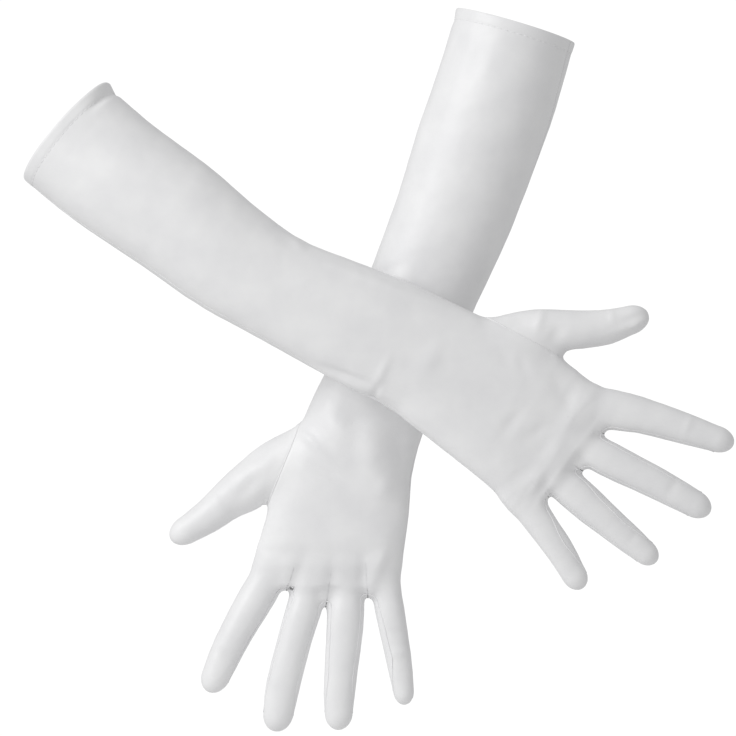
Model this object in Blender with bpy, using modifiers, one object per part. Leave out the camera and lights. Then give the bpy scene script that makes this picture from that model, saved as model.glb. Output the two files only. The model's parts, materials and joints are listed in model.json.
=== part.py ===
"""A pair of elbow-length satin gloves in the shape they have when worn.

The right glove crosses in front of the left one. Both show the back of the hand towards -Y.
Each glove is sewn from a sleeve, a hand, a set-in thumb, four finger stalls and the fourchettes,
the narrow strips between the fingers. All lengths below are in millimetres.

The origin is the centre of the left glove's arm opening, +Z is up and +X is to the viewer's right.
"""

from math import atan2, cos, degrees, pi, radians, sin

import bmesh
import bpy
from mathutils import Matrix, Vector

MM = 0.001

# Cloth and clearances
CLOTH = 0.7
SEAM_GAP = 0.35
HEM_DEPTH = 7.0
THREAD_RADIUS = 0.35
SEAM_RADIUS = 0.6
PLAY = 1.0

# Facets round each kind of tube
ARM_SEGMENTS = 28
FINGER_SEGMENTS = 12
WINDOW_SEGMENTS = 3

# Share of its depth by which the palm side of the thumb opening is cut back
THUMB_FOLD_SLOPE = 0.55

# How far each moving piece tucks into the one it turns in, as angles about its own axis
TUCK_ANGLES = (48, 24)
CAP_ANGLES = (32, 62)

BACK = Vector((0, -1, 0))

# A section of a glove: centre x, y, z, half width, half depth, turn of the width line towards the
# thumb in degrees from +X, and squareness (2 is an ellipse, more is boxier). A finger has its joint,
# the way it points in degrees from +X, and its length. The thumb is a quarter turn from the way the
# fingers point: backwards, which is clockwise seen from the front, on the left glove.
LEFT = {
    "thumb_side": -1,
    "sleeve": [
        (0, 0, 0, 35.5, 32, 163, 2.0),
        (-2.3, 0, -7.7, 35.5, 32, 163, 2.0),
        (-11, 0, -37, 35, 31.5, 161, 2.0),
        (-23, 0, -72.5, 34.5, 30.5, 160, 2.0),
        (-36, 0, -110, 33.5, 28.5, 159, 2.0),
        (-54.5, 0, -153.5, 32, 25, 159, 2.1),
        (-70, 0, -192, 31.5, 22.5, 159, 2.1),
    ],
    "wrist": (-84, 0, -222, 32, 21, 165, 2.2),
    "hand": [
        (-91, 0, -240, 35.5, 19, 171, 2.4),
        (-102, 0, -257, 42.5, 18, 176, 2.8),
        (-103, 0, -281, 41.3, 16.5, 179, 3.2),
    ],
    "knuckles": (-108.5, 0, -309, 42, 13.8, 179, 4.0),
    "wrist_cut_back": {"back": 3.5, "palm": 10.5},
    "seam": ((-124.8, 0, -230), (-143.9, 0, -277.4)),
    "thumb_root": (23, 10.5),
    "thumb": [
        (-155.2, 0, -262.7, 16.5, 11, 85, 2.0),
        (-166, 0, -272.5, 10.5, 10, 115, 2.0),
        (-186, 0, -289, 8.9, 8.5, 125, 2.0),
    ],
    "thumb_tip": (-199.4, 0, -295.4),
    "fingers": {
        "index": ((-139.3, 0, -310.0), 244.0, 82.5),
        "middle": ((-117.3, 0, -312.0), 257.5, 97.5),
        "ring": ((-96.5, 0, -312.0), 266.0, 94.5),
        "little": ((-78.0, 0, -309.0), 280.0, 84.5),
    },
}

RIGHT = {
    "thumb_side": 1,
    "sleeve": [
        (-259, -36, -62.5, 35.5, 32, 51, 2.0),
        (-252.8, -36, -67.5, 35.5, 32, 51, 2.0),
        (-232.5, -38, -84.5, 35, 31.5, 53, 2.0),
        (-194, -40, -112, 34, 30.5, 55, 2.0),
        (-162.5, -42, -136, 31.5, 28, 57, 2.0),
        (-138.5, -44, -151, 29.5, 25, 61, 2.1),
        (-108.5, -46, -165, 31.5, 22.5, 65, 2.1),
        (-81.5, -46, -177.5, 33.5, 21.5, 65, 2.2),
    ],
    "wrist": (-60, -46, -188, 34, 20.5, 63, 2.2),
    "hand": [
        (-40, -46, -200, 36.5, 19, 61, 2.4),
        (-14.5, -46, -211.5, 43.5, 18, 61, 2.8),
        (-1.5, -46, -224.5, 41.3, 16.5, 61, 3.2),
    ],
    "knuckles": (18.2, -46, -241.8, 42, 13.8, 56, 4.0),
    "wrist_cut_back": {"back": 9.0, "palm": 3.0},
    "seam": ((-15, -46, -170), (21.4, -46, -189.6)),
    "thumb_root": (19.5, 10.5),
    "thumb": [
        (16.8, -46, -176.6, 14.7, 11, 126, 2.0),
        (31.5, -46, -176, 11.1, 10, 105, 2.0),
        (59.5, -46, -173, 8.7, 8.5, 97, 2.0),
    ],
    "thumb_tip": (75.1, -46, -168.8),
    "fingers": {
        "index": ((34.6, -46, -216.8), -15.5, 92.5),
        "middle": ((27.2, -46, -236.4), -28.0, 93.5),
        "ring": ((16.6, -46, -255.2), -40.5, 82.5),
        "little": ((0.6, -46, -267.8), -57.5, 67.5),
    },
}

# Half widths at the root and near the tip, half depths at the root, the fork and near the tip
FINGER_SIZES = {
    "index": (10.2, 8.8, 10.8, 9.6, 7.6),
    "middle": (9.7, 8.6, 10.8, 9.6, 7.6),
    "ring": (9.5, 7.6, 10.6, 9.2, 7.2),
    "little": (8.0, 6.2, 9.4, 8.0, 6.2),
}

# Sides of each finger that carry a fourchette: towards the thumb, away from the thumb
FOURCHETTES = {
    "index": ("outer",),
    "middle": ("inner", "outer"),
    "ring": ("inner", "outer"),
    "little": ("inner",),
}
FORK_LENGTH = 20.0
FOURCHETTE_STOPS = (0.42, 0.60, 0.80)


class Section:
    """One cross-section of a tube of cloth, lying across the direction the arm points in."""

    def __init__(self, centre, half_width, half_depth, turn, square, ahead):
        self.centre = Vector(centre)
        self.half_width = half_width
        self.half_depth = half_depth
        self.turn = turn
        self.square = square
        self.across = Vector((cos(radians(turn)), 0, sin(radians(turn))))
        self.along = self.across.cross(BACK)
        if self.along.dot(ahead) < 0:
            self.along.negate()
        self.cut_back = {"back": 0.0, "palm": 0.0}

    def point(self, angle, grow=0.0):
        """Point of the outline at an angle from the thumb side, 90 degrees being the back."""
        side = superellipse(cos(angle), self.square)
        rise = superellipse(sin(angle), self.square)
        back_off = self.cut_back["back"] * max(rise, 0) + self.cut_back["palm"] * max(-rise, 0)
        return (self.centre + self.across * side * (self.half_width + grow)
                + BACK * rise * (self.half_depth + grow) - self.along * back_off)

    def moved(self, distance, scale=1.0):
        """The same section further along the arm, and smaller or larger."""
        return Section(self.centre + self.along * distance, self.half_width * scale,
                       self.half_depth * scale, self.turn, self.square, self.along)


def superellipse(value, square):
    return (abs(value) ** (2 / square)) * (1 if value > 0 else -1)


def section_from_row(row, ahead):
    x, y, z, half_width, half_depth, turn, square = row
    return Section((x, y, z), half_width, half_depth, turn, square, ahead)


def ring_angles(segments):
    """Angles whose first facet is centred on the thumb side."""
    step = 2 * pi / segments
    return [step * (index + 0.5) for index in range(segments)]


def tuck(section):
    """Sections that round the end of a tube about its own joint axis, so it turns in place."""
    radius = section.half_depth
    return [section.moved(-radius * sin(radians(angle)), cos(radians(angle)))
            for angle in TUCK_ANGLES]


def clear_scene():
    for thing in list(bpy.data.objects):
        bpy.data.objects.remove(thing, do_unlink=True)


def new_collection(name):
    collection = bpy.data.collections.new(name)
    bpy.context.scene.collection.children.link(collection)
    return collection


def cloth_material(name, colour, roughness):
    """Plain Principled cloth: satin is a low-roughness white with no metal in it."""
    material = bpy.data.materials.new(name)
    material.use_nodes = True
    shader = material.node_tree.nodes["Principled BSDF"]
    shader.inputs["Base Color"].default_value = (*colour, 1)
    shader.inputs["Roughness"].default_value = roughness
    shader.inputs["Metallic"].default_value = 0
    return material


def satin(name):
    return cloth_material(name, (0.88, 0.88, 0.87), 0.38)


def thread(name):
    return cloth_material(name, (0.93, 0.93, 0.92), 0.6)


def object_from_bmesh(name, mesh_data, collection, material=None):
    mesh = bpy.data.meshes.new(name)
    mesh_data.to_mesh(mesh)
    mesh_data.free()
    if material is not None:
        mesh.materials.append(material)
    mesh.shade_smooth()
    mesh.set_sharp_from_angle(angle=radians(50))
    thing = bpy.data.objects.new(name, mesh)
    collection.objects.link(thing)
    return thing


def loft_rings(rings, closed_tip=None, skipped=(), wraps=True):
    """Skin rings of points, in order, leaving out the faces named as (ring, facet)."""
    mesh_data = bmesh.new()
    rows = [[mesh_data.verts.new(point * MM) for point in ring] for ring in rings]
    count = len(rows[0])
    for ring_index in range(len(rows) - 1):
        for facet in range(count if wraps else count - 1):
            if (ring_index, facet) in skipped:
                continue
            following = (facet + 1) % count
            mesh_data.faces.new((rows[ring_index][facet], rows[ring_index][following],
                                 rows[ring_index + 1][following], rows[ring_index + 1][facet]))
    if closed_tip is not None:
        tip = mesh_data.verts.new(closed_tip * MM)
        for facet in range(count):
            mesh_data.faces.new((rows[-1][facet], rows[-1][(facet + 1) % count], tip))
    return mesh_data


def face_outwards(mesh_data, section):
    """Rings run from the thumb side over the back, which is inside out on a left glove."""
    if section.across.cross(BACK).dot(section.along) < 0:
        bmesh.ops.reverse_faces(mesh_data, faces=mesh_data.faces[:])


def thicken(thing):
    """Give an open sheet its cloth thickness, inwards from the outer face."""
    shell = thing.modifiers.new("cloth", "SOLIDIFY")
    shell.thickness = CLOTH * MM
    shell.offset = -1
    shell.use_rim = True
    shell.use_even_offset = True
    return thing


def cloth_tube(name, sections, segments, collection, tip=None, skipped=()):
    """A shell of cloth through its sections, open at both ends or closed at a tip."""
    rings = [[section.point(angle) for angle in ring_angles(segments)] for section in sections]
    mesh_data = loft_rings(rings, closed_tip=tip, skipped=skipped)
    face_outwards(mesh_data, sections[0])
    return thicken(object_from_bmesh(name, mesh_data, collection, satin(name)))


def thread_line(name, points, radius, collection, cyclic=False):
    """A seam or a row of stitching, as a thin round cord."""
    curve = bpy.data.curves.new(name, "CURVE")
    curve.dimensions = "3D"
    curve.bevel_depth = radius * MM
    curve.bevel_resolution = 1
    curve.use_fill_caps = not cyclic
    curve.materials.append(thread(name))
    spline = curve.splines.new("POLY")
    spline.points.add(len(points) - 1)
    for place, point in zip(spline.points, points):
        place.co = (*(point * MM), 1)
    spline.use_cyclic_u = cyclic
    thing = bpy.data.objects.new(name, curve)
    collection.objects.link(thing)
    return thing


def joint_empty(name, pivot, collection):
    """The point that a moving body turns about."""
    empty = bpy.data.objects.new(name, None)
    empty.empty_display_size = 0.01
    empty.location = pivot * MM
    collection.objects.link(empty)
    return empty


def hang_from(empty, things):
    """Parent finished pieces to their joint without moving them."""
    for thing in things:
        thing.parent = empty
        thing.matrix_parent_inverse = Matrix.Translation(-empty.location)


def cut(thing, cutter):
    boolean = thing.modifiers.new("cut " + cutter.name, "BOOLEAN")
    boolean.operation = "DIFFERENCE"
    boolean.solver = "EXACT"
    boolean.object = cutter


def as_cutter(thing):
    thing.hide_render = True
    thing.display_type = "WIRE"
    return thing


# Sleeve

def sleeve_sections(glove):
    rows = glove["sleeve"]
    heading = Vector(glove["wrist"][:3]) - Vector(rows[0][:3])
    return [section_from_row(row, heading) for row in rows]


def wrist_section(glove):
    heading = Vector(glove["knuckles"][:3]) - Vector(glove["sleeve"][0][:3])
    return section_from_row(glove["wrist"], heading)


def build_sleeve(side, glove, collection):
    sections = sleeve_sections(glove)
    end = wrist_section(glove).moved(-PLAY)
    end.half_width += CLOTH + PLAY
    end.half_depth += CLOTH + PLAY
    end.cut_back = glove["wrist_cut_back"]
    return cloth_tube(side + "_sleeve", sections + [end], ARM_SEGMENTS, collection)


def inset(section, amount):
    smaller = section.moved(0)
    smaller.half_width -= amount
    smaller.half_depth -= amount
    return smaller


def build_hem_facing(side, glove, collection):
    """The cloth turned up inside the arm opening."""
    mouth = sleeve_sections(glove)[0]
    facing = [inset(mouth.moved(distance), CLOTH + SEAM_GAP) for distance in (SEAM_GAP, HEM_DEPTH)]
    return cloth_tube(side + "_hem_facing", facing, ARM_SEGMENTS, collection)


def build_hem_stitching(side, glove, collection):
    """One row of thread round the sleeve, just above the turned-up edge."""
    mouth = sleeve_sections(glove)[0].moved(HEM_DEPTH - PLAY)
    points = [mouth.point(angle, SEAM_GAP + THREAD_RADIUS) for angle in ring_angles(ARM_SEGMENTS)]
    return thread_line(side + "_hem_stitching", points, THREAD_RADIUS, collection, cyclic=True)


def seam_points(sections):
    """The little-finger edge of a run of sections, just clear of the cloth."""
    return [section.point(pi, SEAM_GAP + SEAM_RADIUS) for section in sections]


def build_side_seam(side, glove, collection):
    sections = sleeve_sections(glove)
    end = wrist_section(glove).moved(-2 * PLAY)
    end.half_width += CLOTH + PLAY
    start = sections[0].moved(HEM_DEPTH + PLAY)
    points = seam_points([start] + sections[2:] + [end])
    return thread_line(side + "_side_seam", points, SEAM_RADIUS, collection)


# Hand

def knuckle_section(glove):
    heading = Vector(glove["knuckles"][:3]) - Vector(glove["wrist"][:3])
    section = section_from_row(glove["knuckles"], heading)
    section.cut_back = {"back": 0.0, "palm": 10.0}
    return section


def hand_sections(glove):
    wrist = wrist_section(glove)
    middle = [section_from_row(row, wrist.along) for row in glove["hand"]]
    return tuck(wrist) + [wrist] + middle + [knuckle_section(glove)]


def thumb_root(glove):
    """The set-in thumb starts along its seam, whose line is also its joint axis."""
    upper, lower = (Vector(end) for end in glove["seam"])
    half_width, half_depth = glove["thumb_root"]
    line = upper - lower
    turn = degrees(atan2(line.z, line.x))
    outwards = Vector(glove["thumb_tip"]) - upper
    return Section((upper + lower) / 2, half_width, half_depth, turn, 2.0, outwards)


def thumb_socket_cutter(side, glove, cutters):
    """Everything outside the thumb seam, cut back further on the palm so that the thumb can fold."""
    root = thumb_root(glove)
    reach = 40.0
    fold_room = reach * THUMB_FOLD_SLOPE
    profile = ((0, reach), (reach, reach), (reach, -reach), (-fold_room, -reach), (0, 0))
    mesh_data = bmesh.new()
    half_length = root.half_width + 1.5 * PLAY
    ends = []
    for distance in (-half_length, half_length):
        ends.append([mesh_data.verts.new((root.centre + root.across * distance
                                          + root.along * out + BACK * up) * MM)
                     for out, up in profile])
    mesh_data.faces.new(ends[0])
    mesh_data.faces.new(list(reversed(ends[1])))
    for index in range(len(profile)):
        following = (index + 1) % len(profile)
        mesh_data.faces.new((ends[0][following], ends[0][index], ends[1][index], ends[1][following]))
    bmesh.ops.recalc_face_normals(mesh_data, faces=mesh_data.faces[:])
    return as_cutter(object_from_bmesh(side + "_thumb_slot_cutter", mesh_data, cutters))


def thumb_barrel_cutter(side, glove, cutters):
    """Room for the thumb's tucked end to turn inside the hand."""
    root = thumb_root(glove)
    bpy.ops.mesh.primitive_uv_sphere_add(segments=16, ring_count=12, radius=1)
    thing = bpy.context.active_object
    thing.name = side + "_thumb_barrel_cutter"
    for collection in list(thing.users_collection):
        collection.objects.unlink(thing)
    cutters.objects.link(thing)
    size = Vector((root.half_depth, root.half_depth, root.half_width))
    size += Vector((1, 1, 1)) * 1.5 * PLAY
    frame = Matrix((root.along, BACK, root.across)).transposed().to_4x4()
    place = Matrix.Translation(root.centre * MM) @ frame @ Matrix.Diagonal((*(size * MM), 1))
    thing.data.transform(place)
    if frame.determinant() < 0:
        thing.data.flip_normals()
    return as_cutter(thing)


def build_hand(side, glove, collection, cutters):
    """Back and palm in one piece, open at the wrist, along the knuckles and at the thumb seam."""
    hand = cloth_tube(side + "_hand", hand_sections(glove), ARM_SEGMENTS, collection)
    cut(hand, thumb_socket_cutter(side, glove, cutters))
    cut(hand, thumb_barrel_cutter(side, glove, cutters))
    return hand


def build_hand_seam(side, glove, collection):
    """The side seam carried on from the wrist to the little finger."""
    wrist = wrist_section(glove)
    middle = [section_from_row(row, wrist.along) for row in glove["hand"]]
    start = wrist.moved(3 * PLAY)
    end = knuckle_section(glove).moved(-2 * PLAY)
    points = seam_points([start] + middle + [end])
    return thread_line(side + "_hand_seam", points, SEAM_RADIUS, collection)


# Thumb

def build_thumb(side, glove, collection):
    root = thumb_root(glove)
    tip = Vector(glove["thumb_tip"])
    tube = [section_from_row(row, tip - root.centre) for row in glove["thumb"]]
    cap = rounded_end(tube[-1], tip)
    return cloth_tube(side + "_thumb", tuck(root) + [root] + tube + cap, FINGER_SEGMENTS + 4,
                      collection, tip=tip)


def rounded_end(last, tip):
    """Sections of a rounded fingertip between the last full section and the tip."""
    reach = (tip - last.centre).length
    straight = 0.35 * reach
    radius = reach - straight
    direction = (tip - last.centre).normalized()
    sections = []
    for angle in (0,) + CAP_ANGLES:
        distance = straight + radius * sin(radians(angle))
        scale = 0.96 * cos(radians(angle))
        section = last.moved(0, scale)
        section.centre = last.centre + direction * distance
        sections.append(section)
    return sections


# Fingers

def finger_root(glove, finger):
    """Section on the finger's own joint axis, facing the way the finger points."""
    pivot, heading, _length = glove["fingers"][finger]
    half_width, _tip_width, half_depth, _fork_depth, _tip_depth = FINGER_SIZES[finger]
    ahead = Vector((cos(radians(heading)), 0, sin(radians(heading))))
    turn = heading + glove["thumb_side"] * 90
    return Section(pivot, half_width, half_depth, turn, 2.0, ahead)


def finger_sections(glove, finger):
    """Full sections from the joint to where the fingertip starts to round."""
    _pivot, _heading, length = glove["fingers"][finger]
    root = finger_root(glove, finger)
    _root_width, tip_width, _root_depth, fork_depth, tip_depth = FINGER_SIZES[finger]
    sections = [root]
    for distance in [FORK_LENGTH] + [length * stop for stop in FOURCHETTE_STOPS]:
        section = root.moved(distance)
        share = distance / (length * FOURCHETTE_STOPS[-1])
        section.half_width += (tip_width - root.half_width) * share ** 2
        past_fork = max(0.0, (distance - FORK_LENGTH) / (length - FORK_LENGTH))
        section.half_depth = fork_depth + (tip_depth - fork_depth) * past_fork
        sections.append(section)
    return sections


def window_facets(where):
    """Facets round a finger that a fourchette takes up: the inner side faces the thumb."""
    middle = FINGER_SEGMENTS - 1 if where == "inner" else FINGER_SEGMENTS // 2 - 1
    half = WINDOW_SEGMENTS // 2
    return [(middle + offset) % FINGER_SEGMENTS for offset in range(-half, half + 1)]


def window_angles(where):
    """First and last angle of a fourchette's window."""
    middle = 0.0 if where == "inner" else pi
    half = WINDOW_SEGMENTS * pi / FINGER_SEGMENTS
    return middle - half, middle + half


def build_stall(side, glove, finger, collection):
    """Front, back and tip of a finger, with a window on each side that has a fourchette."""
    _pivot, _heading, length = glove["fingers"][finger]
    sections = finger_sections(glove, finger)
    root = sections[0]
    tip = root.centre + root.along * length
    rings = tuck(root) + sections + rounded_end(sections[-1], tip)
    first = len(TUCK_ANGLES) + 1
    last = first + len(FOURCHETTE_STOPS)
    skipped = {(ring, facet) for ring in range(first, last)
               for where in FOURCHETTES[finger] for facet in window_facets(where)}
    name = side + "_" + finger + "_stall"
    return cloth_tube(name, rings, FINGER_SEGMENTS, collection, tip=tip, skipped=skipped)


def build_fourchette(side, glove, finger, where, collection):
    """A narrow strip that fills its window with a stitching gap all round."""
    sections = finger_sections(glove, finger)[1:]
    sections[0] = sections[0].moved(SEAM_GAP)
    sections[-1] = sections[-1].moved(-SEAM_GAP)
    start, stop = window_angles(where)
    rings = []
    for section in sections:
        trim = SEAM_GAP / section.half_depth * 1.4
        span = stop - start - 2 * trim
        angles = [start + trim + span * index / WINDOW_SEGMENTS
                  for index in range(WINDOW_SEGMENTS + 1)]
        rings.append([section.point(angle) for angle in angles])
    mesh_data = loft_rings(rings, wraps=False)
    face_outwards(mesh_data, sections[0])
    name = side + "_" + finger + "_" + where + "_fourchette"
    return thicken(object_from_bmesh(name, mesh_data, collection, satin(name)))


def build_finger(side, glove, finger, collection):
    pieces = [build_stall(side, glove, finger, collection)]
    for where in FOURCHETTES[finger]:
        pieces.append(build_fourchette(side, glove, finger, where, collection))
    joint = joint_empty(side + "_" + finger + "_joint", finger_root(glove, finger).centre, collection)
    hang_from(joint, pieces)


def build_glove(side, glove, collection, cutters):
    build_sleeve(side, glove, collection)
    build_hem_facing(side, glove, collection)
    build_hem_stitching(side, glove, collection)
    build_side_seam(side, glove, collection)

    wrist = joint_empty(side + "_wrist_joint", wrist_section(glove).centre, collection)
    hang_from(wrist, [build_hand(side, glove, collection, cutters),
                      build_hand_seam(side, glove, collection)])

    thumb_joint = joint_empty(side + "_thumb_joint", thumb_root(glove).centre, collection)
    hang_from(thumb_joint, [build_thumb(side, glove, collection)])

    for finger in FOURCHETTES:
        build_finger(side, glove, finger, collection)


def main():
    clear_scene()
    gloves = new_collection("opera_gloves")
    cutters = new_collection("cutters")
    build_glove("left", LEFT, gloves, cutters)
    build_glove("right", RIGHT, gloves, cutters)


main()
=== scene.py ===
"""Looks of a pair of worn satin gloves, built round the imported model.

Each glove starts as one continuous skin: rounded tubes for the arm and hand, the thumb, the fingers
and the webs between them, melted together. The skin is cut along the real seams into the pieces the
glove is sewn from, creased, and given its cloth thickness. Lengths here are in millimetres until a
mesh is made.
"""

import json
from math import atan2, cos, pi, radians, sin

import bmesh
import bpy
import numpy as np
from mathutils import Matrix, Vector, noise


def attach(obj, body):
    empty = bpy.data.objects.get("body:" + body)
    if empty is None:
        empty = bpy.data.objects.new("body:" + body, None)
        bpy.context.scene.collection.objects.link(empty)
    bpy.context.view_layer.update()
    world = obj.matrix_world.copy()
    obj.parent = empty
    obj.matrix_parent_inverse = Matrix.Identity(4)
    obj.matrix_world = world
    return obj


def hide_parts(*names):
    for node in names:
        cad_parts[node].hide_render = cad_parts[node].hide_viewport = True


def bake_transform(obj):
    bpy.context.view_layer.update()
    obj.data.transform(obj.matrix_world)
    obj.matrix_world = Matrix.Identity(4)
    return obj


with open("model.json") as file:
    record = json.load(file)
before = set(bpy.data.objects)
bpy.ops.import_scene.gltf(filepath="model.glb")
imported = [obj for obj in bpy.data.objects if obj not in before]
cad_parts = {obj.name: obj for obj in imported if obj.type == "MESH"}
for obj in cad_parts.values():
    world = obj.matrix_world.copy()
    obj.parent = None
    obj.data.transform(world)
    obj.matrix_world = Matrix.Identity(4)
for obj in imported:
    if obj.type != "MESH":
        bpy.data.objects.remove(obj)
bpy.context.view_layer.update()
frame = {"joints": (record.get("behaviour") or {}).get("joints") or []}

MM = 0.001
BACK = np.array((0.0, -1.0, 0.0))
PALM = -BACK
FAR = 1e3

VOXEL = 1.7
SECTION_STEP = 11.0
FINGER_STEP = 9.0
THUMB_STEP = 6.0
CLOTH = 0.6
HEM_DEPTH = 6.6
HEM_ROWS = (0.9, HEM_DEPTH - 1.1, HEM_DEPTH, HEM_DEPTH + 1.1)
FACING_GAP = 0.15
FACING_CLOTH = 0.5
WRIST_BEND = (-18.0, 9.0)
KNUCKLE_SHIFT = -3.0
FINGER_BEND = 20.0
THUMB_BEND = 20.0
CROTCH_EDGE = 5.0
FORK_AT = 20.0
FOURCHETTE_END = 0.9
SEAM_GROOVE = 0.35
SEAM_WIDTH = 0.7
WELT_RADIUS = 0.34
STITCH_STEP = 3.2
THREAD_RADIUS = 0.17
CAMERA_DISTANCE = 4.0
FRAME_WIDTH = 0.4254
FRAME_CENTRE = (-0.0855, -0.1977)
FLOOR_HEIGHT = -0.52
FILL = 0.54
KEY_PLACE = (-1.2, -1.0, 0.55)
KEY_SIZE = 1.0
KEY_POWER = 14
FINGERS = ("index", "middle", "ring", "little")
SIDE_SIGN = {"inner": 1, "outer": -1}

# Which row of an arm lies in the opening's plane
CUFF_ROW = 1
# How softly the tubes melt together
THUMB_FILLET = 9.0
WEB_FILLET = 3.0
FINGER_FILLET = 5.0
HAND_FILLET = 10.0
# Half width and half depth of a web
WEB_START = (8, 9.5)
WEB_END = (3.5, 6.2)
# How far the seams' fields count
KNUCKLES_PAST_HAND = 60
WRIST_REACH = 60
SIDE_SEAM_REACH = 12
BEFORE_THUMB_SEAM = -15
BESIDE_THUMB_SEAM = -5
# How a fourchette opens past the fork and closes near the fingertip
FOURCHETTE_OPENING = 15
FOURCHETTE_POINT = 20
# The opening's flare on the thumb side, and the crease above it
FLARE_FACING = (0.35, 0.95)
FLARE_DEPTH = 6.0
CREASE_SHARE = 0.45
CREASE_DEPTH = 8.0
CREASE_WIDTH = 1.6
# Height, size and seed of the skin's unevenness
UNEVENNESS = ((0.2, 16.0, 3.0), (0.08, 6.0, 7.0))

# A row of a tube: centre x, y, z, half width, half depth, turn of the width line towards the thumb
# in degrees from +X, and squareness (2 is an ellipse). A finger's row: centre x, z, half width.
LEFT = {
    "thumb_side": -1,
    "cuff_lean": 0.03,
    "hem_flare": 0.5,
    "arm": [
        (1.5, 0, 5, 35.5, 32, 163, 2.0),
        (0, 0, 0, 35.3, 32, 163, 2.0),
        (-2.3, 0, -7.7, 35.3, 32, 163, 2.0),
        (-11, 0, -37, 35.8, 31.5, 161, 2.0),
        (-23.5, 0, -72.5, 35.5, 30.5, 160, 2.0),
        (-36.5, 0, -110, 34, 28.5, 159, 2.0),
        (-54.5, 0, -153.5, 32, 25, 159, 2.1),
        (-70, 0, -192, 31.5, 22.5, 159, 2.1),
        (-84.5, 0, -222, 33.5, 20.5, 165, 2.2),
        (-91.5, 0, -240, 35, 19, 171, 2.4),
        (-98.5, 0, -257, 38.5, 17.5, 176, 2.6),
        (-102.5, 0, -281, 40.5, 15.5, 179, 2.8),
        (-107, 0, -303, 42, 12.4, 179, 2.8),
        (-108, 0, -315, 39.5, 10.7, 179, 2.6),
        (-108, 0, -322, 36, 9.0, 179, 2.5),
    ],
    "side_seam": ((0, 13), (40, 9), (90, 2), (170, 0), (250, 3), (330, 4)),
    "folds": [
        (-103, -231, 290, 30, 16, 2.2),
        (-118, -240, 315, 22, 6, 1.4),
        (-93, -227, 350, 26, 10, -1.4),
        (-108.5, -258, 329, 28, 5, -1.0),
        (-84, -245, 275, 40, 16, 2.3),
        (-65, -250, 280, 44, 14, -1.6),
        (-76, -267, 90, 14, 12, 1.4),
        (-110, -300, 0, 68, 24, 1.8),
        (-126, -316, 250, 24, 8, -1.2),
        (-106.5, -320, 265, 24, 8, -1.4),
        (-88.5, -315, 270, 22, 7, -1.2),
        (-79, -311, 252, 26, 8, 1.2),
        (-148.5, -247, 215, 20, 10, -1.2),
        (-154, -266, 220, 20, 8, -1.0),
        (-172, -276, 130, 16, 6, 0.8),
        (-166, -364, 335, 14, 5, -0.8),
        (-69, -350, 350, 12, 5, -0.6),
        (-67, -362, 10, 12, 5, 0.6),
        (-76, -142, 20, 14, 6, -1.2),
        (-66, -146, 340, 18, 6, 0.8),
        (-24, -22, 250, 22, 9, -0.6),
        (-108, -328, 0, 66, 20, -1.2),
    ],
    "thumb": [
        (-122, 0, -251, 20, 10, 68, 2.0),
        (-134.4, 0, -253, 22, 11, 68, 2.0),
        (-146.5, 0, -259.4, 19, 11.5, 84, 2.0),
        (-157, 0, -267, 14.4, 11, 104, 2.0),
        (-167, 0, -274.4, 11.4, 10, 121, 2.0),
        (-178.3, 0, -283.7, 9.8, 9, 127, 2.0),
        (-189.5, 0, -290.8, 8.2, 8, 118, 2.0),
    ],
    "thumb_tip": (-200, 0, -295.8),
    "seam": ((-124.8, -230), (-143.9, -277.4)),
    "forks": ((-134.7, -323.4), (-111, -333.6), (-83.8, -329.5)),
    "fingers": {
        "index": [(-148.7, -328.5, 10.6), (-155.4, -339.5, 10.1), (-162.3, -351.8, 9.6),
                  (-168.5, -364.5, 9.2), (-173.4, -375.5, 8.2)],
        "middle": [(-122.2, -335.9, 10.2), (-126.6, -350.2, 9.9), (-130.9, -366.3, 9.8),
                   (-134.9, -382.5, 9.9), (-137.3, -397, 8.8)],
        "ring": [(-98.3, -338.2, 10.6), (-99.1, -352.1, 10.5), (-100.6, -367.6, 9.8),
                 (-101.9, -383.1, 9.3), (-102.4, -396.5, 8.2)],
        "little": [(-73.6, -333.8, 8.6), (-71.4, -345.8, 8.2), (-69.1, -359.1, 7.7),
                   (-66.7, -372.4, 7.1), (-65.1, -384, 6.1)],
    },
    "tips": {"index": (-177.2, -385.2), "middle": (-138.6, -407.9), "ring": (-103, -406.9),
             "little": (-63.5, -392.4)},
    "fourchette_tops": {("index", "outer"): 4.2, ("middle", "inner"): 4.2, ("middle", "outer"): 5.2,
                        ("ring", "inner"): 5.6, ("ring", "outer"): 5.6, ("little", "inner"): 6.3},
}

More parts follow.
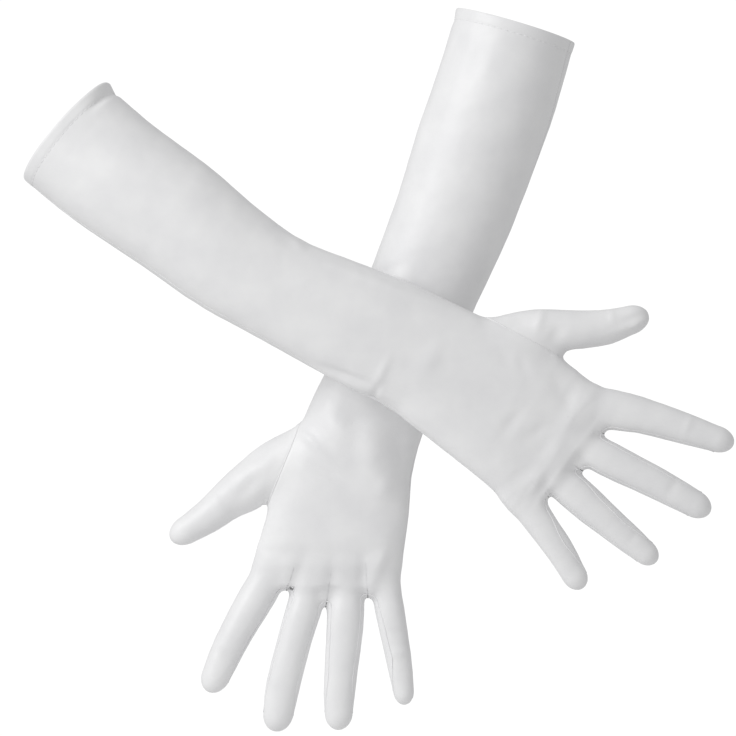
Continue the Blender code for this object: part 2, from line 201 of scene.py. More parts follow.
RIGHT = {
    "thumb_side": 1,
    "cuff_lean": 0.17,
    "hem_flare": 1.9,
    "arm": [
        (-267, -36, -56, 35.5, 32, 51, 2.0),
        (-258.8, -36, -62.8, 35.8, 32, 50, 2.0),
        (-252.8, -36, -68, 35.8, 32, 51, 2.0),
        (-232.5, -38, -84.8, 35.3, 31.5, 53, 2.0),
        (-194, -40, -112, 34.2, 30.5, 55, 2.0),
        (-163, -42, -136, 32.2, 28, 57, 2.0),
        (-138.5, -44, -151, 30.5, 25, 61, 2.1),
        (-108.5, -46, -165.5, 32.5, 22.5, 65, 2.1),
        (-81.5, -46, -178, 34.3, 21.5, 65, 2.2),
        (-60, -46, -188, 34.8, 20, 63, 2.2),
        (-40, -46, -200, 37, 18.5, 61, 2.4),
        (-20, -46, -212, 40, 17, 61, 2.6),
        (-2, -46, -224.2, 41.6, 15.5, 61, 2.8),
        (14.3, -46, -237.5, 41.7, 12.4, 57, 2.8),
        (22.5, -46, -246.5, 39.2, 10.7, 55, 2.6),
        (26.5, -46, -251, 35, 9.0, 54, 2.5),
    ],
    "side_seam": ((0, 0), (40, 6), (90, 9), (150, 9), (220, 5), (330, 3)),
    "folds": [
        (-99, -201.5, 340, 28, 4, -1.2),
        (-94.5, -207, 338, 36, 4.5, 1.3),
        (-83, -214, 60, 14, 5, -1.4),
        (-78, -201, 65, 20, 5, 0.8),
        (-68, -217, 340, 26, 14, -0.9),
        (-81.5, -148, 340, 74, 5, 0.7),
        (-126, -127, 320, 12, 5, 0.8),
        (-50, -192, 60, 22, 10, 0.7),
        (41, -217, 300, 20, 14, 1.0),
        (25.5, -212, 300, 24, 9, -1.0),
        (-8, -190, 320, 16, 8, -0.6),
        (3, -197, 290, 16, 6, -0.5),
        (-3, -228, 50, 16, 7, -0.6),
        (11, -234, 30, 16, 7, -0.6),
        (10, -264, 60, 15, 5, 0.6),
        (14.5, -266, 60, 12, 5, -0.5),
        (34, -248.5, 40, 14, 7, -0.4),
        (12.5, -170, 75, 14, 5, 0.9),
        (2, -170, 20, 16, 8, -0.7),
        (21.5, -179, 60, 12, 9, -1.2),
        (66, -169, 15, 15, 5, -1.1),
        (64.5, -174, 18, 22, 3, 0.6),
        (53.5, -167.5, 100, 8, 3, 0.6),
        (97, -230, 70, 12, 4, 0.4),
        (88, -266, 60, 12, 5, -0.5),
        (66, -294, 50, 10, 5, -0.4),
        (-238, -44.5, 50, 16, 4.5, -1.0),
    ],
    "thumb": [
        (-6, -46, -190, 19, 10, 150, 2.0),
        (3.2, -46, -179.8, 18.9, 11, 148, 2.0),
        (13, -46, -177.4, 16, 11.5, 130, 2.0),
        (24, -46, -175.9, 12.6, 11, 110, 2.0),
        (38.5, -46, -175.6, 10.9, 10, 98, 2.0),
        (51.5, -46, -174.2, 10, 9, 98, 2.0),
        (63.5, -46, -170.6, 8.4, 8, 106, 2.0),
    ],
    "thumb_tip": (75, -46, -167.6),
    "seam": ((-15, -170), (21.4, -189.6)),
    "forks": ((49.2, -233.6), (38.2, -254.4), (14.6, -270.6)),
    "fingers": {
        "index": [(53.6, -221.6, 11.6), (68.8, -224.3, 10.5), (84.5, -228.8, 9.6),
                  (100.1, -233.8, 8.6), (113, -238, 7.6)],
        "middle": [(50.3, -249, 10.1), (62.9, -255.4, 9.7), (76.3, -261.9, 9.2), (89.6, -269, 8.7),
                   (100.6, -275, 7.8)],
        "ring": [(31.8, -268.2, 10.3), (41.6, -276.9, 10), (52.6, -286.1, 9), (63.7, -295.5, 8.1),
                 (72.2, -302.5, 7)],
        "little": [(6.9, -276.8, 9.6), (13.2, -286.4, 8.8), (20.6, -296.5, 8.4), (27.3, -307, 7.8),
                   (32.1, -315.6, 7.2)],
    },
    "tips": {"index": (123.5, -241.3), "middle": (110, -280.4), "ring": (79.4, -308.4),
             "little": (36, -324.2)},
    "fourchette_tops": {("index", "outer"): 4.6, ("middle", "inner"): 5.4, ("middle", "outer"): 4.6,
                        ("ring", "inner"): 6.6, ("ring", "outer"): 4.0, ("little", "inner"): 6.2},
}

# Half depth of each finger at its root and at its rows
ROOT_WIDTH = 0.85
FINGER_DEPTHS = {
    "index": (8.0, 9.4, 9.3, 8.9, 8.2, 7.2),
    "middle": (8.0, 9.4, 9.3, 8.9, 8.2, 7.2),
    "ring": (7.8, 9.1, 9.0, 8.5, 7.8, 6.9),
    "little": (6.8, 7.9, 7.8, 7.3, 6.6, 5.8),
}


# Tubes with smooth, changing sections

def unit(vectors):
    return vectors / np.maximum(np.linalg.norm(vectors, axis=-1, keepdims=True), 1e-9)


def smoothstep(values, low, high):
    share = np.clip((values - low) / (high - low), 0, 1)
    return share * share * (3 - 2 * share)


def resample(rows, step):
    """Rows at about even spacing on a smooth curve through the given ones."""
    rows = np.array(rows, float)
    chord = np.linalg.norm(np.diff(rows[:, :3], axis=0), axis=1)
    at = np.concatenate([[0], np.cumsum(chord)])
    slope = np.gradient(rows, at, axis=0)
    new_at = np.linspace(0, at[-1], max(2, int(round(at[-1] / step)) + 1))
    low = np.clip(np.searchsorted(at, new_at, "right") - 1, 0, len(at) - 2)
    width = chord[low][:, None]
    t = (new_at - at[low])[:, None] / width
    return ((2 * t**3 - 3 * t**2 + 1) * rows[low] + (t**3 - 2 * t**2 + t) * width * slope[low]
            + (3 * t**2 - 2 * t**3) * rows[low + 1] + (t**3 - t**2) * width * slope[low + 1])


class Tube:
    """A tube of superellipse sections, rounded off at its far end if it has a tip."""

    def __init__(self, rows, tip=None, step=SECTION_STEP):
        rows = resample(rows, step)
        self.centre = rows[:, :3]
        self.half_width, self.half_depth = rows[:, 3], rows[:, 4]
        self.square = rows[:, 6]
        turn = np.radians(rows[:, 5])
        self.across = np.stack([np.cos(turn), 0 * turn, np.sin(turn)], axis=1)
        self.along = np.cross(self.across, BACK)
        if self.along[0] @ (self.centre[1] - self.centre[0]) < 0:
            self.along = -self.along
        spacing = np.linalg.norm(np.diff(self.centre, axis=0), axis=1)
        self.arc = np.concatenate([[0], np.cumsum(spacing)])
        self.tip = None if tip is None else np.array(tip, float)

    def measure_segment(self, points, start):
        """Distance outside one stretch of the tube, arc length and place across it."""
        end = start + 1
        before = (points - self.centre[start]) @ self.along[start]
        after = (points - self.centre[end]) @ self.along[end]
        span = before - after
        share = np.clip(before / np.maximum(span, 1e-6), 0, 1)

        def between(values):
            return values[start] + share * (values[end] - values[start])

        centre = self.centre[start] + share[:, None] * (self.centre[end] - self.centre[start])
        across = unit(self.across[start] + share[:, None] * (self.across[end] - self.across[start]))
        away = points - centre
        side = np.einsum("ij,ij->i", away, across)
        rise = away @ BACK
        square = between(self.square)
        size = ((np.abs(side) / between(self.half_width))**square
                + (np.abs(rise) / between(self.half_depth))**square)**(1 / square)
        radial = np.hypot(side, rise) * (1 - 1 / np.maximum(size, 1e-6))
        past_end = np.maximum(-before, 0) + np.maximum(after, 0)
        distance = np.where(past_end > 0, np.hypot(np.maximum(radial, 0), past_end), radial)
        return np.where(span > 1e-6, distance, FAR), between(self.arc), side

    def measure_tip(self, points):
        """The rounded end, an ellipsoid about the last section that reaches the tip."""
        away = points - self.centre[-1]
        reach = np.linalg.norm(self.tip - self.centre[-1])
        side = away @ self.across[-1]
        ahead = away @ unit(self.tip - self.centre[-1])
        scaled = np.stack([side / self.half_width[-1], away @ BACK / self.half_depth[-1],
                           ahead / reach], axis=1)
        size = np.maximum(np.linalg.norm(scaled, axis=1), 1e-6)
        distance = np.linalg.norm(away, axis=1) * (1 - 1 / size)
        return distance, self.arc[-1] + np.clip(ahead, 0, reach), side

    def measure(self, points):
        """Distance outside the tube, arc length along it and place across it."""
        best = np.full(len(points), FAR)
        arc = np.zeros(len(points))
        side = np.zeros(len(points))
        stretches = [self.measure_segment(points, start) for start in range(len(self.centre) - 1)]
        if self.tip is not None:
            stretches.append(self.measure_tip(points))
        for distance, along, across in stretches:
            nearer = distance < best
            best[nearer], arc[nearer], side[nearer] = distance[nearer], along[nearer], across[nearer]
        return best, arc, side

    def length(self):
        return self.arc[-1] + np.linalg.norm(self.tip - self.centre[-1])

    def distance(self, points):
        return self.measure(points)[0]

    def rings(self, count=20):
        """Closed outlines for the rough mesh, the tip rounded off with smaller ones."""
        angles = np.arange(count) * 2 * pi / count
        sections = list(zip(self.centre, self.half_width, self.half_depth, self.across))
        if self.tip is not None:
            reach = self.tip - self.centre[-1]
            for angle in (25, 50, 72):
                shrink = cos(radians(angle))
                sections.append((self.centre[-1] + reach * sin(radians(angle)),
                                 self.half_width[-1] * shrink, self.half_depth[-1] * shrink,
                                 self.across[-1]))
        return [centre + np.outer(np.cos(angles) * width, across)
                + np.outer(np.sin(angles) * depth, BACK)
                for centre, width, depth, across in sections]


def smooth_union(first, second, radius):
    """Union of two distances with a fillet."""
    share = np.clip(0.5 + 0.5 * (second - first) / radius, 0, 1)
    return second * (1 - share) + first * share - radius * share * (1 - share)


# A glove's tubes, and the fields whose zero lines are its seams

JOINTS = {joint["name"]: joint for joint in frame["joints"]}


def pivot(joint):
    return np.array(JOINTS[joint]["pos_m"]) / MM


def way_past(joint):
    """The way a jointed part points: its hinge turns it towards the palm."""
    return unit(np.cross(PALM, np.array(JOINTS[joint]["axis"])))


def turn_of(vector):
    return np.degrees(atan2(vector[2], vector[0]))


class Glove:
    def __init__(self, side, plan):
        self.side = side
        self.plan = plan
        self.roots = [pivot(f"{side}_{finger}_root") for finger in FINGERS]
        self.ways = [way_past(f"{side}_{finger}_root") for finger in FINGERS]
        self.depth = self.roots[0][1]
        self.wrist = pivot(side + "_wrist")
        self.hand_way = way_past(side + "_wrist")
        self.arm = Tube(plan["arm"])
        self.thumb = Tube(plan["thumb"], plan["thumb_tip"], step=THUMB_STEP)
        self.forks = [np.array((x, self.depth, z)) for x, z in plan["forks"]]
        self.fingers = [self.finger_tube(index) for index in range(4)]
        self.webs = [self.web_tube(index) for index in range(3)]
        self.place_cuff()
        self.place_thumb_seam()
        self.place_knuckles()

    def finger_tube(self, index):
        name = FINGERS[index]
        rows = self.plan["fingers"][name]
        depths = FINGER_DEPTHS[name]
        places = [self.roots[index]] + [np.array((x, self.depth, z)) for x, z, _width in rows]
        widths = [rows[0][2] * ROOT_WIDTH] + [width for _x, _z, width in rows]
        tip_x, tip_z = self.plan["tips"][name]
        tip = np.array((tip_x, self.depth, tip_z))
        ends = places + [tip]
        made = []
        for number, place in enumerate(places):
            way = ends[number + 1] - ends[max(number - 1, 0)]
            turn = turn_of(way) + 90 * self.plan["thumb_side"]
            made.append((*place, widths[number], depths[number], turn, 2.1))
        return Tube(made, tip, step=FINGER_STEP)

    def web_tube(self, index):
        """The cloth that joins two fingers as far as their fork."""
        start = (self.roots[index] + self.roots[index + 1]) / 2
        way = unit(self.forks[index] - start)
        end = self.forks[index] - way * WEB_END[0]
        turn = turn_of(way) + 90 * self.plan["thumb_side"]
        rows = [(*start, *WEB_START, turn, 2), (*end, *WEB_END, turn, 2)]
        return Tube(rows, self.forks[index], step=FINGER_STEP)

    def place_cuff(self):
        self.cuff, after = np.array(self.plan["arm"][CUFF_ROW:CUFF_ROW + 2], float)[:, :3]
        self.cuff_way = unit(after - self.cuff)

    def place_thumb_seam(self):
        (x, z), (end_x, end_z) = self.plan["seam"]
        self.seam_start = np.array((x, self.depth, z), float)
        seam = np.array((end_x, self.depth, end_z)) - self.seam_start
        self.seam_way = unit(seam)
        self.seam_normal = np.cross(self.seam_way, BACK)
        if self.seam_normal @ (self.thumb.tip - self.seam_start) < 0:
            self.seam_normal = -self.seam_normal

    def place_knuckles(self):
        """The bent line where the fingers leave the hand, from the index side outwards."""
        gaps = []
        for index in range(3):
            middle = (self.roots[index] + self.roots[index + 1]) / 2
            way = unit(self.ways[index] + self.ways[index + 1])
            gaps.append(middle + way * KNUCKLE_SHIFT)
        first, last = self.ways[0], self.ways[3]
        thumbwards = unit(self.roots[0] - self.roots[3])
        outer = unit(thumbwards - first * (thumbwards @ first))
        inner = unit(-thumbwards + last * (thumbwards @ last))
        line = [gaps[0] + outer * KNUCKLES_PAST_HAND, *gaps, gaps[2] + inner * KNUCKLES_PAST_HAND]
        self.knuckles = np.array(line)
        self.knuckle_across = unit(line[-1] - line[0])
        self.knuckle_way = np.cross(self.knuckle_across, BACK)
        if self.knuckle_way @ first < 0:
            self.knuckle_way = -self.knuckle_way

    def tubes(self):
        return [self.arm, self.thumb] + self.fingers + self.webs

    def distance(self, points):
        hand = smooth_union(self.arm.distance(points), self.thumb.distance(points), THUMB_FILLET)
        fingers = np.full(len(points), FAR)
        for web in self.webs:
            fingers = smooth_union(fingers, web.distance(points), WEB_FILLET)
        for finger in self.fingers:
            fingers = smooth_union(fingers, finger.distance(points), FINGER_FILLET)
        return smooth_union(hand, fingers, HAND_FILLET)

    def rise(self, points):
        """Height over the middle of the hand, towards its back."""
        return (points[:, 1] - self.depth) * BACK[1]

    def cuff_depth(self, points):
        """How far inside the arm opening's edge, whose plane leans a little."""
        away = points - self.cuff
        return away @ self.cuff_way + self.plan["cuff_lean"] * (away @ BACK)

    def past_wrist(self, points):
        return (points - self.wrist) @ self.hand_way - WRIST_BEND[0]

    def past_knuckles(self, points):
        across = (points - self.knuckles[0]) @ self.knuckle_across
        ahead = (points - self.knuckles[0]) @ self.knuckle_way
        line = self.knuckles - self.knuckles[0]
        return ahead - np.interp(across, line @ self.knuckle_across, line @ self.knuckle_way)

    def past_seam(self, points):
        """How far on the thumb's side of its seam, and whether near enough to matter."""
        away = points - self.seam_start
        along = away @ self.seam_way
        side = away @ self.seam_normal
        near = (along > BEFORE_THUMB_SEAM) & (side > BESIDE_THUMB_SEAM)
        beside = points[near]
        near[near] = self.thumb.distance(beside) < self.fingers[0].distance(beside)
        return side, near

    def over_side_seam(self, points):
        """Height over the little-finger side's seam, and whether on that side of arm or hand."""
        _distance, arc, side = self.arm.measure(points)
        heights = np.array(self.plan["side_seam"], float)
        ahead = (points - self.knuckles[0]) @ self.knuckle_way
        near = (side < 0) & (ahead < SIDE_SEAM_REACH)
        over = self.rise_over_arm(points) - np.interp(arc, heights[:, 0], heights[:, 1])
        near = near & (self.past_knuckles(points) < 0)
        return over, near & (np.abs(over) < SIDE_SEAM_REACH)

    def rise_over_arm(self, points):
        """Height over the arm's own middle line, which moves in depth a little."""
        line = self.arm.centre
        way = unit(line[-1] - line[0])
        depth = np.interp((points - line[0]) @ way, (line - line[0]) @ way, line[:, 1])
        return (points[:, 1] - depth) * BACK[1]


# The continuous skin

def rough_mesh(tubes):
    """All tubes as closed lofts in one mesh, overlapping."""
    lofts = bmesh.new()
    for tube in tubes:
        rows = [[lofts.verts.new(Vector(point) * MM) for point in ring] for ring in tube.rings()]
        count = len(rows[0])
        for low, high in zip(rows, rows[1:]):
            for index in range(count):
                following = (index + 1) % count
                lofts.faces.new((low[index], low[following], high[following], high[index]))
        lofts.faces.new(rows[0])
        lofts.faces.new(rows[-1])
    bmesh.ops.recalc_face_normals(lofts, faces=lofts.faces[:])
    mesh = bpy.data.meshes.new("rough")
    lofts.to_mesh(mesh)
    lofts.free()
    return mesh


def remeshed(mesh):
    """One closed, even mesh round everything in the rough one."""
    thing = add_object("rough", mesh)
    modifier = thing.modifiers.new("remesh", "REMESH")
    modifier.mode = "VOXEL"
    modifier.voxel_size = VOXEL * MM
    evaluated = thing.evaluated_get(bpy.context.evaluated_depsgraph_get())
    result = bpy.data.meshes.new_from_object(evaluated)
    bpy.data.objects.remove(thing)
    bpy.data.meshes.remove(mesh)
    return result


def vertex_normals(points, triangles):
    corners = points[triangles]
    crosses = np.cross(corners[:, 1] - corners[:, 0], corners[:, 2] - corners[:, 0])
    normals = np.zeros_like(points)
    for corner in range(3):
        for axis in range(3):
            normals[:, axis] += np.bincount(triangles[:, corner], crosses[:, axis], len(points))
    return unit(normals)


def edges_of(triangles):
    """Each edge once, and for each triangle the numbers of its three edges."""
    pairs = np.sort(directed_edges(triangles), axis=1)
    base = pairs.max() + 1
    keys, numbers = np.unique(pairs[:, 0] * base + pairs[:, 1], return_inverse=True)
    return np.stack([keys // base, keys % base], axis=1), numbers.reshape(3, -1).T


def relax(points, edges, share):
    """Move each point part of the way to the middle of its neighbours."""
    ends = np.concatenate([edges, edges[:, ::-1]])
    count = np.bincount(ends[:, 0], minlength=len(points)).astype(float)
    middle = np.stack([np.bincount(ends[:, 0], points[ends[:, 1], axis], len(points))
                       for axis in range(3)], axis=1) / count[:, None]
    return points + share * (middle - points)


class Skin:
    """Points and triangles that can be cut along the zero line of a field."""

    def __init__(self, glove):
        mesh = remeshed(rough_mesh(glove.tubes()))
        mesh.calc_loop_triangles()
        corners = np.empty(len(mesh.loop_triangles) * 3, np.int32)
        mesh.loop_triangles.foreach_get("vertices", corners)
        points = np.empty(len(mesh.vertices) * 3, np.float32)
        mesh.vertices.foreach_get("co", points)
        bpy.data.meshes.remove(mesh)
        self.points = points.reshape(-1, 3).astype(float) / MM
        self.triangles = corners.reshape(-1, 3).astype(int)
        self.fixed = np.zeros(len(self.points), bool)
        self.draw_onto(glove)

    def draw_onto(self, glove, rounds=5):
        """Fit the skin to the melted tubes, evening out its points as it goes."""
        edges, _numbers = edges_of(self.triangles)
        for _round in range(rounds):
            self.points = relax(self.points, edges, 0.5)
            normals = vertex_normals(self.points, self.triangles)
            step = np.clip(glove.distance(self.points), -3, 3)
            self.points -= normals * step[:, None]

    def centres(self):
        return self.points[self.triangles].mean(axis=1)

    def cut(self, field, where=None, snap=0.2):
        """Put an edge line where field(points) is zero, in the triangles that where picks."""
        edges, numbers = edges_of(self.triangles)
        chosen = np.ones(len(self.triangles), bool) if where is None else where
        asked = np.unique(self.triangles[chosen])
        values = np.ones(len(self.points))
        values[asked] = field(self.points[asked])
        usable = np.zeros(len(edges), bool)
        usable[numbers[chosen].ravel()] = True
        self.snap_to_line(values, edges, usable, snap)
        start, end = values[edges[:, 0]], values[edges[:, 1]]
        crossing = usable & (start * end < 0)
        share = (start / np.where(crossing, start - end, 1))[crossing, None]
        ends = edges[crossing]
        made = self.points[ends[:, 0]] * (1 - share) + self.points[ends[:, 1]] * share
        new_number = np.full(len(edges), -1)
        new_number[crossing] = len(self.points) + np.arange(len(made))
        self.points = np.concatenate([self.points, made])
        self.fixed = np.concatenate([self.fixed, np.ones(len(made), bool)])
        self.split(new_number[numbers])

    def snap_to_line(self, values, edges, usable, snap):
        """Move points that are nearly on the line onto it, so that no sliver is cut."""
        start, end = values[edges[:, 0]], values[edges[:, 1]]
        crossing = np.flatnonzero(usable & (start * end < 0))
        share = start[crossing] / (start[crossing] - end[crossing])
        near_start = share < 0.5
        nearness = np.where(near_start, share, 1 - share)
        order = np.argsort(-nearness)
        order = order[nearness[order] < snap]
        near = np.where(near_start, edges[crossing, 0], edges[crossing, 1])[order]
        target = (self.points[edges[crossing, 0]] * (1 - share[:, None])
                  + self.points[edges[crossing, 1]] * share[:, None])[order]
        loose = ~self.fixed[near]
        self.points[near[loose]] = target[loose]
        held = near[~loose]
        held = held[np.abs(values[held]) < 0.08]
        values[near[loose]] = 0
        values[held] = 0
        self.fixed[near[loose]] = True

    def split(self, middles):
        """Divide each triangle whose edges have new middle points."""
        count = (middles >= 0).sum(axis=1)
        made = [self.triangles[count == 0]]
        for kinds in (1, 2, 3):
            rows = np.flatnonzero(count == kinds)
            if not len(rows):
                continue
            corner, middle = self.triangles[rows], middles[rows]
            if kinds == 1:
                turn = np.argmax(middle >= 0, axis=1)
            elif kinds == 2:
                turn = (np.argmin(middle >= 0, axis=1) + 1) % 3
            else:
                turn = np.zeros(len(rows), int)
            order = (turn[:, None] + np.arange(3)) % 3
            a, b, c = np.take_along_axis(corner, order, 1).T
            ab, bc, ca = np.take_along_axis(middle, order, 1).T
            patterns = {1: [(a, ab, c), (ab, b, c)],
                        2: [(ab, b, bc), (a, ab, bc), (a, bc, c)],
                        3: [(a, ab, ca), (ab, b, bc), (ca, bc, c), (ab, bc, ca)]}
            made += [np.stack(pattern, axis=1) for pattern in patterns[kinds]]
        self.triangles = np.concatenate(made)

    def keep(self, wanted):
        """Drop all other triangles and the points that nothing uses."""
        self.triangles = self.triangles[wanted]
        used = np.unique(self.triangles)
        number = np.full(len(self.points), -1)
        number[used] = np.arange(len(used))
        self.points = self.points[used]
        self.fixed = self.fixed[used]
        self.triangles = number[self.triangles]


# Where the seams run, and which piece each triangle belongs to

def fourchettes(plan):
    return list(plan["fourchette_tops"])


def fourchette_edges(glove, finger, which, arc):
    """Heights of a fourchette's two long edges, which close to a point near the fingertip."""
    index = FINGERS.index(finger)
    end = FOURCHETTE_END * glove.fingers[index].length()
    full = glove.plan["fourchette_tops"][finger, which]
    top = CROTCH_EDGE + (full - CROTCH_EDGE) * smoothstep(arc, FORK_AT,
                                                           FORK_AT + FOURCHETTE_OPENING)
    closing = np.sqrt(np.clip((end - arc) / FOURCHETTE_POINT, 0, 1))
    return top * closing, -CROTCH_EDGE * closing, end


def sew(glove):
    """The whole skin with an edge line along every seam."""
    skin = Skin(glove)
    skin.cut(glove.cuff_depth)
    skin.keep(glove.cuff_depth(skin.centres()) > 0)
    for depth in HEM_ROWS:
        skin.cut(lambda points: glove.cuff_depth(points) - depth)
    skin.cut(glove.past_wrist, glove.past_wrist(skin.centres()) < WRIST_REACH)
    for offset in (0, -SEAM_WIDTH, SEAM_WIDTH):
        near = glove.past_seam(skin.centres())[1]
        skin.cut(lambda points: glove.past_seam(points)[0] - offset, near)
    skin.cut(glove.past_knuckles, ~on_thumb(glove, skin.centres()))
    for index in range(3):
        pair = glove.fingers[index:index + 2]
        nearest = finger_of(glove, skin.centres())
        skin.cut(lambda points: pair[0].distance(points) - pair[1].distance(points),
                 (nearest == index) | (nearest == index + 1))
    for finger, which in fourchettes(glove.plan):
        for edge in (0, 1):
            cut_fourchette_edge(glove, skin, finger, which, edge)
    for offset in (0, -SEAM_WIDTH, SEAM_WIDTH):
        skin.cut(lambda points: glove.over_side_seam(points)[0] - offset,
                 glove.over_side_seam(skin.centres())[1])
    return skin


def cut_fourchette_edge(glove, skin, finger, which, edge):
    index = FINGERS.index(finger)
    centres = skin.centres()
    near = finger_of(glove, centres) == index
    _distance, arc, side = glove.fingers[index].measure(centres[near])
    end = fourchette_edges(glove, finger, which, arc)[2]
    near[near] = (side * SIDE_SIGN[which] > 0) & (arc < end)

    def over_edge(points):
        along = glove.fingers[index].measure(points)[1]
        return glove.rise(points) - fourchette_edges(glove, finger, which, along)[edge]

    skin.cut(over_edge, near)


def on_thumb(glove, points):
    side, near = glove.past_seam(points)
    return (side > 0) & near


def finger_of(glove, points):
    """Number of the finger each point is on, or -1."""
    found = np.full(len(points), -1)
    beyond = (glove.past_knuckles(points) > 0) & ~on_thumb(glove, points)
    distances = [finger.distance(points[beyond]) for finger in glove.fingers]
    found[beyond] = np.argmin(distances, axis=0)
    return found


def piece_masks(glove, skin):
    """For each cloth piece's name, which triangles it has."""
    centres = skin.centres()
    thumb = on_thumb(glove, centres)
    finger = finger_of(glove, centres)
    arm = ~thumb & (finger < 0)
    on_sleeve = glove.past_wrist(centres) < 0
    masks = {"sleeve": arm & on_sleeve, "hand": arm & ~on_sleeve, "thumb": thumb}
    rise = glove.rise(centres)
    for index, name in enumerate(FINGERS):
        masks[name + "_stall"] = finger == index
    for name, which in fourchettes(glove.plan):
        index = FINGERS.index(name)
        _distance, arc, side = glove.fingers[index].measure(centres)
        top, bottom, end = fourchette_edges(glove, name, which, arc)
        strip = ((finger == index) & (side * SIDE_SIGN[which] > 0) & (arc < end)
                 & (rise < top) & (rise > bottom))
        masks[f"{name}_{which}_fourchette"] = strip
        masks[name + "_stall"] = masks[name + "_stall"] & ~strip
    return masks


# Creases and grooves

def groove(values, near):
    return -SEAM_GROOVE * np.exp(-(values / SEAM_WIDTH)**2) * near


def fold_height(points, normals, folds):
    """Soft ridges and hollows on the back: place x, z, heading, length, width, height."""
    total = np.zeros(len(points))
    facing = smoothstep(normals @ BACK, 0.05, 0.4)
    for x, z, heading, length, width, height in folds:
        along_x, along_z = cos(radians(heading)), sin(radians(heading))
        away_x, away_z = points[:, 0] - x, points[:, 2] - z
        along = away_x * along_x + away_z * along_z
        across = away_z * along_x - away_x * along_z
        total += height * np.exp(-(2 * along / length)**2 - (2 * across / width)**2)
    return total * facing


def noise_height(points, size, seed):
    return np.array([noise.noise(Vector(point / size) + Vector((seed, 0, 0))) for point in points])


def relief(glove, points, normals):
    """How far each point of the skin stands out or in, in mm."""
    hem = glove.cuff_depth(points)
    total = groove(hem - HEM_DEPTH, 0.2)
    total += 0.25 * smoothstep(-hem, -HEM_DEPTH, -HEM_DEPTH + 1.5)
    total -= 0.35 * smoothstep(-hem, -1.0, 0)
    flared = smoothstep(normals @ glove.arm.across[0], *FLARE_FACING) * glove.plan["hem_flare"]
    crease = CREASE_SHARE * np.exp(-((hem - CREASE_DEPTH) / CREASE_WIDTH)**2)
    total += flared * (smoothstep(-hem, -FLARE_DEPTH, 0) - crease)
    total += groove(*glove.past_seam(points))
    total += groove(*glove.over_side_seam(points))
    for finger in FINGERS:
        total += fourchette_groove(glove, finger, points)
    total += fold_height(points, normals, glove.plan["folds"])
    for height, size, seed in UNEVENNESS:
        total += height * noise_height(points, size, seed)
    return total


def fourchette_groove(glove, finger, points):
    total = np.zeros(len(points))
    index = FINGERS.index(finger)
    distance, arc, side = glove.fingers[index].measure(points)
    rise = glove.rise(points)
    for name, which in fourchettes(glove.plan):
        if name != finger:
            continue
        top, bottom, end = fourchette_edges(glove, name, which, arc)
        near = ((distance < 2) & (side * SIDE_SIGN[which] > 0) & (arc < end)
                & (glove.past_knuckles(points) > 0))
        total += 0.6 * groove(rise - top, near) + 0.6 * groove(rise - bottom, near)
    return total


# Pieces of cloth

def add_object(name, data):
    thing = bpy.data.objects.new(name, data)
    bpy.context.scene.collection.objects.link(thing)
    return thing


def directed_edges(triangles):
    return np.concatenate([triangles[:, [0, 1]], triangles[:, [1, 2]], triangles[:, [2, 0]]])


def border_edges(triangles, count):
    """Directed edges that only one triangle uses."""
    edges = directed_edges(triangles)
    forward = edges[:, 0] * count + edges[:, 1]
    backward = edges[:, 1] * count + edges[:, 0]
    return edges[~np.isin(forward, backward)]


def chains(edges):
    """Directed edges joined end to end, longest chain first."""
    following = {int(start): int(end) for start, end in edges}
    ends = set(following.values())
    starts = [start for start in following if start not in ends]
    found = []
    left = dict(following)
    for start in starts + list(following):
        if start not in left:
            continue
        chain = [start]
        while chain[-1] in left:
            chain.append(left.pop(chain[-1]))
        found.append(chain)
    return sorted(found, key=len, reverse=True)


def shared_border(mine, other, count):
    """The directed edges of one group of triangles along another group."""
    edges = directed_edges(mine)
    opposite = directed_edges(other)
    return edges[np.isin(edges[:, 1] * count + edges[:, 0], opposite[:, 0] * count + opposite[:, 1])]


def wall(chain):
    """Triangles that close a U-shaped cut between its two arms."""
    low, high = 0, len(chain) - 1
    made = []
    while high - low > 1:
        made.append((chain[high], chain[high - 1], chain[low]))
        high -= 1
        if high - low > 1:
            made.append((chain[high], chain[low + 1], chain[low]))
            low += 1
    return np.array(made, int)


def thickened(points, normals, triangles, cloth):
    """A closed sheet: the outer face, the inner face and the rims along its borders."""
    used = np.unique(triangles)
    number = np.full(len(points), -1)
    number[used] = np.arange(len(used))
    outer = number[triangles]
    own = vertex_normals(points[used], outer)
    inner_points = points[used] - own * cloth
    count = len(used)
    inner = outer[:, ::-1] + count
    border = border_edges(outer, count)
    start, end = border[:, 0], border[:, 1]
    rims = np.concatenate([np.stack([end, start, start + count], axis=1),
                           np.stack([end, start + count, end + count], axis=1)])
    all_points = np.concatenate([points[used], inner_points])
    all_normals = np.concatenate([normals[used], -normals[used]])
    return all_points, all_normals, np.concatenate([outer, inner, rims])


def welt(path, normals, radius, closed):
    """A round cord laid along a line on the skin."""
    if closed:
        ahead = np.roll(path, -1, axis=0) - np.roll(path, 1, axis=0)
    else:
        ahead = np.gradient(path, axis=0)
    ahead = unit(ahead)
    beside = unit(np.cross(ahead, normals))
    over = np.cross(beside, ahead)
    angles = np.arange(6) * pi / 3
    rings = (path[:, None] + over[:, None] * (radius * (0.3 + np.cos(angles)))[None, :, None]
             + beside[:, None] * (radius * np.sin(angles))[None, :, None])
    rows = len(path)
    made = []
    for row in range(rows if closed else rows - 1):
        low, high = row * 6, (row + 1) % rows * 6
        for index in range(6):
            following = (index + 1) % 6
            made.append((low + index, high + following, low + following))
            made.append((low + index, high + index, high + following))
    if not closed:
        last = (rows - 1) * 6
        for index in range(1, 5):
            made.append((0, index, index + 1))
            made.append((last, last + index + 1, last + index))
    return rings.reshape(-1, 3), np.zeros((rows * 6, 3)), np.array(made, int)


